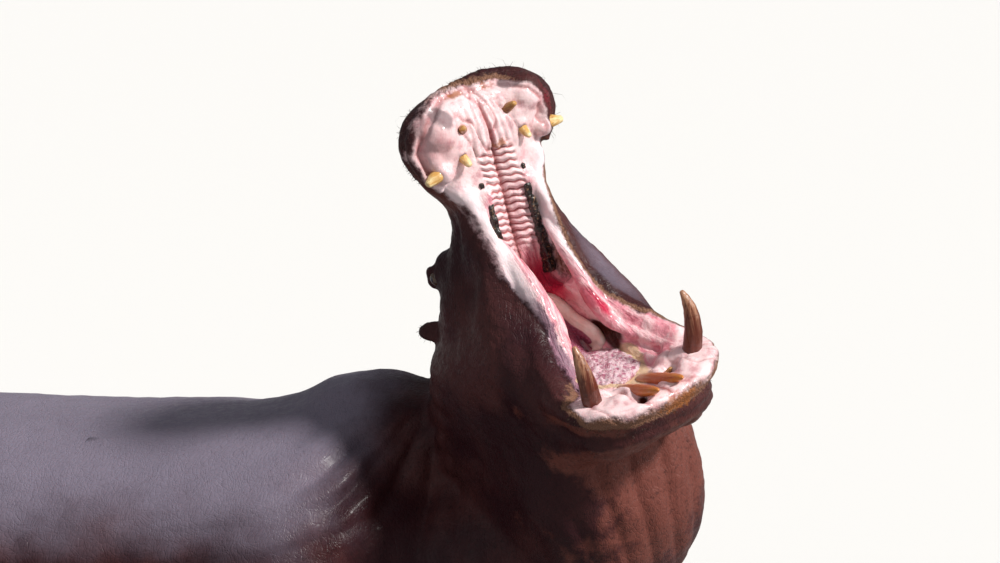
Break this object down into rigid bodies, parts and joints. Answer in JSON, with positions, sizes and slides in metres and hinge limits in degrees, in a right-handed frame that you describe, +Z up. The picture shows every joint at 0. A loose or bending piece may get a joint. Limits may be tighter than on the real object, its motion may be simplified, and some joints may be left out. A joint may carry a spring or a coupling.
{
  "type": "hippopotamus",
  "caption": "Life-size hippopotamus standing on flat feet, head thrown back and turned aside, mouth wide open on its tusks and tongue.",
  "frame": {"origin": "on the floor, under the centre of the bounding box", "axes": "the body faces -Y, +X is the animal's left side and +Z is up"},
  "size_m": [1.2244, 3.3874, 2.3576],
  "materials": {
    "hide": "wet, finely wrinkled, almost hairless skin, dark maroon grey",
    "mouth": "wet pink flesh",
    "ivory": "stained ivory, satin",
    "eye": "wet, dark brown",
    "nail": "worn dark horn"
  },
  "bodies": {
    "root": {"head": "hide", "jaw": "hide", "neck": "hide", "trunk": "hide", "tail": "hide", "leg_front_left": "hide", "leg_front_right": "hide", "leg_hind_left": "hide", "leg_hind_right": "hide", "ear_left": "hide", "ear_right": "hide", "eye_left": "eye", "eye_right": "eye", "tongue": "mouth", "tusk_lower_left": "ivory", "tusk_lower_right": "ivory", "tusk_upper_left": "ivory", "tusk_upper_right": "ivory", "incisor_lower_inner_left": "ivory", "incisor_lower_inner_right": "ivory", "incisor_lower_outer_left": "ivory", "incisor_lower_outer_right": "ivory", "incisor_upper_inner_left": "ivory", "incisor_upper_inner_right": "ivory", "incisor_upper_outer_left": "ivory", "incisor_upper_outer_right": "ivory", "nail_front_left_1": "nail", "nail_front_left_2": "nail", "nail_front_left_3": "nail", "nail_front_left_4": "nail", "nail_front_right_1": "nail", "nail_front_right_2": "nail", "nail_front_right_3": "nail", "nail_front_right_4": "nail", "nail_hind_left_1": "nail", "nail_hind_left_2": "nail", "nail_hind_left_3": "nail", "nail_hind_left_4": "nail", "nail_hind_right_1": "nail", "nail_hind_right_2": "nail", "nail_hind_right_3": "nail", "nail_hind_right_4": "nail"}
  },
  "joints": []
}
